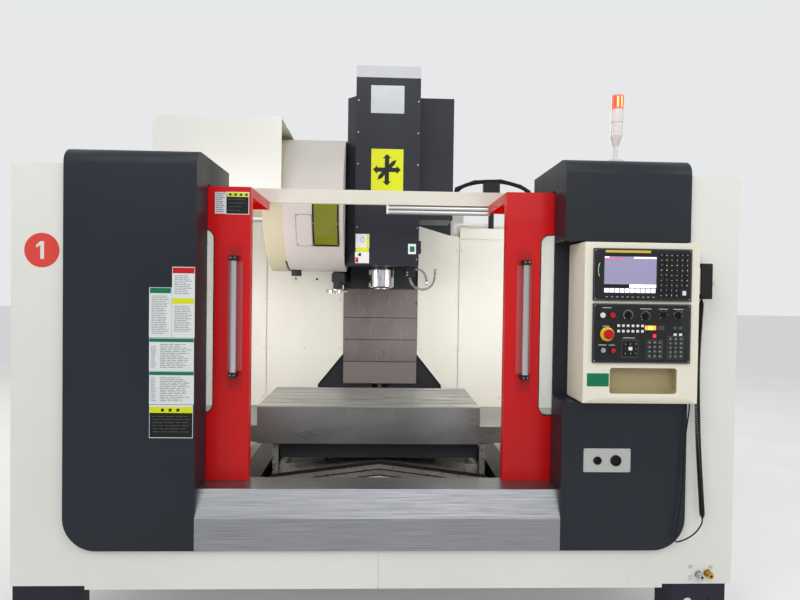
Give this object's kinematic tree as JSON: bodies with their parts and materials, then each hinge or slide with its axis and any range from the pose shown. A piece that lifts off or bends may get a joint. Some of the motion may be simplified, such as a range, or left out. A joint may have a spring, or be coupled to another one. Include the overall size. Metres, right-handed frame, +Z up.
{
  "type": "cnc machining center",
  "caption": "Vertical machining centre with sliding red doors, T-slot table, spindle head, telescopic way covers, tool magazine and control box.",
  "frame": {"origin": "centre of the footprint on the floor, without the pendant cord", "axes": "X along the table travel to the operator's right, Y from the operator into the machine, Z up"},
  "size_m": [3.1, 2.95, 2.897],
  "materials": {
    "cast_dark": "satin",
    "tower_navy": "satin",
    "door_red": "gloss",
    "shell_white": "satin",
    "cream": "satin",
    "drum_cream": "satin",
    "drum_grey": "satin",
    "stainless": "brushed",
    "cover_steel": "worn",
    "table_steel": "ground",
    "rail_steel": "polished",
    "bright_steel": "polished",
    "legs_navy": "satin",
    "black_plastic": "matte",
    "panel_grey": "matte",
    "glass_clear": "clear",
    "window_olive": "tinted",
    "estop_red": "gloss",
    "button_white": "gloss",
    "light_plastic": "gloss",
    "lamp_white": "gloss",
    "motor_black": "satin",
    "rubber_black": "matte",
    "tank_grey": "satin"
  },
  "bodies": {
    "machine": {"base_casting": "cast_dark", "column_casting": "cast_dark", "machine_feet": "legs_navy", "guide_rails": "rail_steel", "axis_motors": "motor_black", "enclosure_left": "shell_white", "enclosure_right": "shell_white", "front_lower_panel": "shell_white", "tower_left": "tower_navy", "tower_right": "tower_navy", "front_sill": "stainless", "back_walls": "shell_white", "crossbar": "cream", "magazine_guard": "shell_white", "changer_frame": "drum_cream", "magazine_cover": "drum_grey", "magazine_window": "window_olive", "chip_pan": "stainless", "electrical_cabinet": "shell_white", "coolant_tank": "tank_grey", "lube_unit": "light_plastic", "air_couplers": "bright_steel", "work_lamp": "lamp_white", "tower_light": "light_plastic", "control_box": "cream", "display_unit": "panel_grey", "operator_panel": "panel_grey", "cable_run": "black_plastic", "pendant": "black_plastic", "pendant_coil": "rubber_black", "pendant_lead": "rubber_black"},
    "saddle_unit": {"saddle": "cast_dark", "saddle_guard": "cover_steel"},
    "table_unit": {"table": "table_steel", "table_apron": "table_steel"},
    "x_cover_left": {"x_cover_left": "cover_steel"},
    "x_cover_right": {"x_cover_right": "cover_steel"},
    "y_cover_front": {"y_cover_front": "cover_steel"},
    "y_cover_middle": {"y_cover_middle": "cover_steel"},
    "head": {"head_casting": "cast_dark", "head_cover": "tower_navy", "spindle_cartridge": "bright_steel", "coolant_nozzles": "light_plastic", "z_cover_top": "cover_steel"},
    "spindle": {"spindle": "bright_steel"},
    "z_cover_upper": {"z_cover_upper": "cover_steel"},
    "z_cover_lower": {"z_cover_lower": "cover_steel"},
    "door_left": {"door_left": "door_red", "door_left_glass": "glass_clear"},
    "door_right": {"door_right": "door_red", "door_right_glass": "glass_clear"},
    "magazine_disc": {"magazine_disc": "cast_dark"},
    "change_arm": {"change_arm": "bright_steel"},
    "cabinet_door": {"cabinet_door": "shell_white"},
    "estop_button": {"estop_button": "estop_red"},
    "start_button": {"start_button": "button_white"},
    "stop_button": {"stop_button": "estop_red"},
    "feed_knob": {"feed_knob": "black_plastic"},
    "spindle_knob": {"spindle_knob": "black_plastic"},
    "pendant_dial": {"pendant_dial": "light_plastic"}
  },
  "joints": [
    {"name": "y_axis", "type": "slide", "parent": "machine", "child": "saddle_unit", "axis": [0, 1, 0], "range_m": [0, 0.6]},
    {"name": "x_axis", "type": "slide", "parent": "saddle_unit", "child": "table_unit", "axis": [1, 0, 0], "range_m": [-0.49, 0.61]},
    {"name": "x_cover_left_slide", "type": "slide", "parent": "saddle_unit", "child": "x_cover_left", "axis": [1, 0, 0], "range_m": [-0.245, 0.305]},
    {"name": "x_cover_right_slide", "type": "slide", "parent": "saddle_unit", "child": "x_cover_right", "axis": [1, 0, 0], "range_m": [-0.245, 0.305]},
    {"name": "y_cover_front_slide", "type": "slide", "parent": "machine", "child": "y_cover_front", "axis": [0, 1, 0], "range_m": [0, 0.2]},
    {"name": "y_cover_middle_slide", "type": "slide", "parent": "machine", "child": "y_cover_middle", "axis": [0, 1, 0], "range_m": [0, 0.4]},
    {"name": "z_axis", "type": "slide", "parent": "machine", "child": "head", "axis": [0, 0, 1], "range_m": [-0.49, 0.11]},
    {"name": "spindle_turn", "type": "hinge", "parent": "head", "child": "spindle", "pos_m": [0, -0.096, 1.78], "axis": [0, 0, 1], "continuous": true},
    {"name": "z_cover_upper_slide", "type": "slide", "parent": "machine", "child": "z_cover_upper", "axis": [0, 0, 1], "range_m": [-0.3267, 0.0734]},
    {"name": "z_cover_lower_slide", "type": "slide", "parent": "machine", "child": "z_cover_lower", "axis": [0, 0, 1], "range_m": [-0.1634, 0.0367]},
    {"name": "door_left_slide", "type": "slide", "parent": "machine", "child": "door_left", "axis": [1, 0, 0], "range_m": [0, 0.576]},
    {"name": "door_right_slide", "type": "slide", "parent": "machine", "child": "door_right", "axis": [-1, 0, 0], "range_m": [0, 0.576]},
    {"name": "magazine_turn", "type": "hinge", "parent": "machine", "child": "magazine_disc", "pos_m": [-0.5, -0.096, 2.08], "axis": [1, 0, 0], "continuous": true},
    {"name": "change_arm_turn", "type": "hinge", "parent": "machine", "child": "change_arm", "pos_m": [-0.276, -0.096, 1.55], "axis": [0, 0, 1], "range_deg": [0, 90]},
    {"name": "cabinet_door_hinge", "type": "hinge", "parent": "machine", "child": "cabinet_door", "pos_m": [-0.712, 1.46, 1.35], "axis": [0, 0, 1], "range_deg": [0, 110]},
    {"name": "estop_press", "type": "slide", "parent": "machine", "child": "estop_button", "axis": [0, 1, 0], "range_m": [0, 0.004], "stiffness_N_per_m": 800},
    {"name": "start_press", "type": "slide", "parent": "machine", "child": "start_button", "axis": [0, 1, 0], "range_m": [0, 0.0025], "stiffness_N_per_m": 600},
    {"name": "stop_press", "type": "slide", "parent": "machine", "child": "stop_button", "axis": [0, 1, 0], "range_m": [0, 0.0025], "stiffness_N_per_m": 600},
    {"name": "feed_knob_turn", "type": "hinge", "parent": "machine", "child": "feed_knob", "pos_m": [1.03, -1.449, 1.469], "axis": [0, 1, 0], "range_deg": [-150, 150]},
    {"name": "spindle_knob_turn", "type": "hinge", "parent": "machine", "child": "spindle_knob", "pos_m": [1.104, -1.449, 1.465], "axis": [0, 1, 0], "range_deg": [-150, 150]},
    {"name": "pendant_dial_turn", "type": "hinge", "parent": "machine", "child": "pendant_dial", "pos_m": [1.397, -1.397, 1.605], "axis": [1, 0, 0], "continuous": true}
  ],
  "couplings": [
    {"joint": "x_cover_left_slide", "follows": "x_axis", "ratio": 0.5},
    {"joint": "x_cover_right_slide", "follows": "x_axis", "ratio": 0.5},
    {"joint": "y_cover_front_slide", "follows": "y_axis", "ratio": 0.3333},
    {"joint": "y_cover_middle_slide", "follows": "y_axis", "ratio": 0.6666},
    {"joint": "z_cover_upper_slide", "follows": "z_axis", "ratio": 0.6666},
    {"joint": "z_cover_lower_slide", "follows": "z_axis", "ratio": 0.3333}
  ]
}
